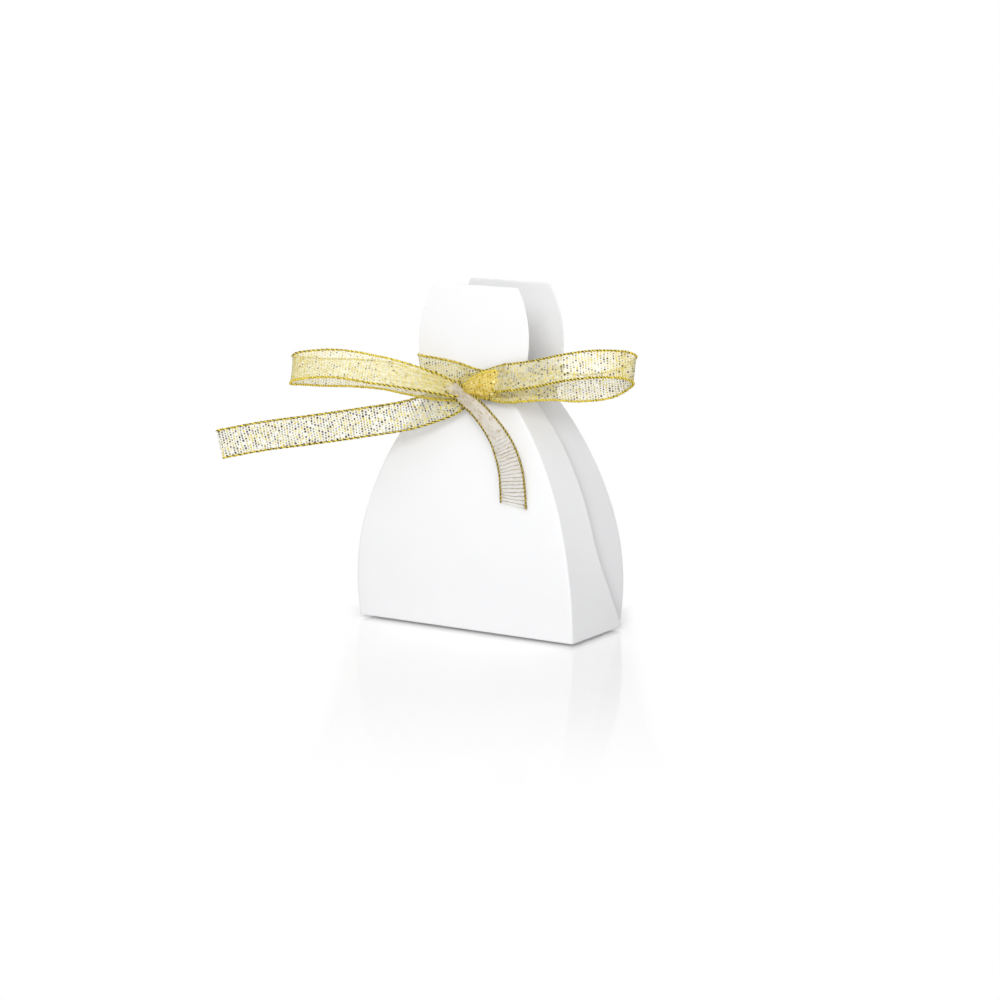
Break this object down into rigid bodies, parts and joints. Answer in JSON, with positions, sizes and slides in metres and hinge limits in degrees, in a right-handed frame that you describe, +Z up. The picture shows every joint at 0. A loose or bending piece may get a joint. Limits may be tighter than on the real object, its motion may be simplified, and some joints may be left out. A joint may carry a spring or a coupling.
{
  "type": "favor box",
  "caption": "Gown-shaped folded card favor box, tied round the neck with a sheer gold ribbon bow; the front half opens.",
  "frame": {"origin": "middle of the base, on the surface that the box stands on", "axes": "+Z up, +X to the right along the front panel, the front faces -Y"},
  "size_m": [0.1424, 0.0695, 0.1208],
  "materials": {
    "card": "smooth white coated card, soft satin",
    "ribbon": "sheer woven organza ribbon with gold and silver metallic threads and twisted gold selvedges"
  },
  "bodies": {
    "rear_half": {"base_panel": "card", "rear_panel": "card", "left_rear_gusset": "card", "right_rear_gusset": "card", "neck_band_rear": "ribbon", "neck_band_left": "ribbon", "neck_band_right": "ribbon"},
    "front_half": {"front_panel": "card", "left_front_gusset": "card", "right_front_gusset": "card", "neck_band_front": "ribbon", "knot": "ribbon"},
    "left_loop": {"left_loop": "ribbon"},
    "right_loop": {"right_loop": "ribbon"},
    "left_tail": {"left_tail": "ribbon"},
    "front_tail": {"front_tail": "ribbon"}
  },
  "joints": [
    {"name": "front_half_opens", "type": "hinge", "parent": "rear_half", "child": "front_half", "pos_m": [0, -0.0176, 0], "axis": [1, 0, 0], "range_deg": [0, 25], "deforming": ["neck_band_left", "neck_band_right"]},
    {"name": "left_loop_bends", "type": "hinge", "parent": "front_half", "child": "left_loop", "pos_m": [0.0035, -0.0176, 0.086], "axis": [-0.342, 0.9397, 0], "range_deg": [-3, 20], "stiffness_Nm_per_rad": 0.01},
    {"name": "right_loop_bends", "type": "hinge", "parent": "front_half", "child": "right_loop", "pos_m": [0.0035, -0.0176, 0.086], "axis": [0.342, -0.9397, 0], "range_deg": [-6, 20], "stiffness_Nm_per_rad": 0.01},
    {"name": "left_tail_bends", "type": "hinge", "parent": "front_half", "child": "left_tail", "pos_m": [0.0035, -0.0176, 0.086], "axis": [-0.342, 0.9397, 0], "range_deg": [-20, 0], "stiffness_Nm_per_rad": 0.01},
    {"name": "front_tail_swings", "type": "hinge", "parent": "front_half", "child": "front_tail", "pos_m": [0.0015, -0.0215, 0.087], "axis": [-1, 0, 0], "range_deg": [0, 60]}
  ]
}
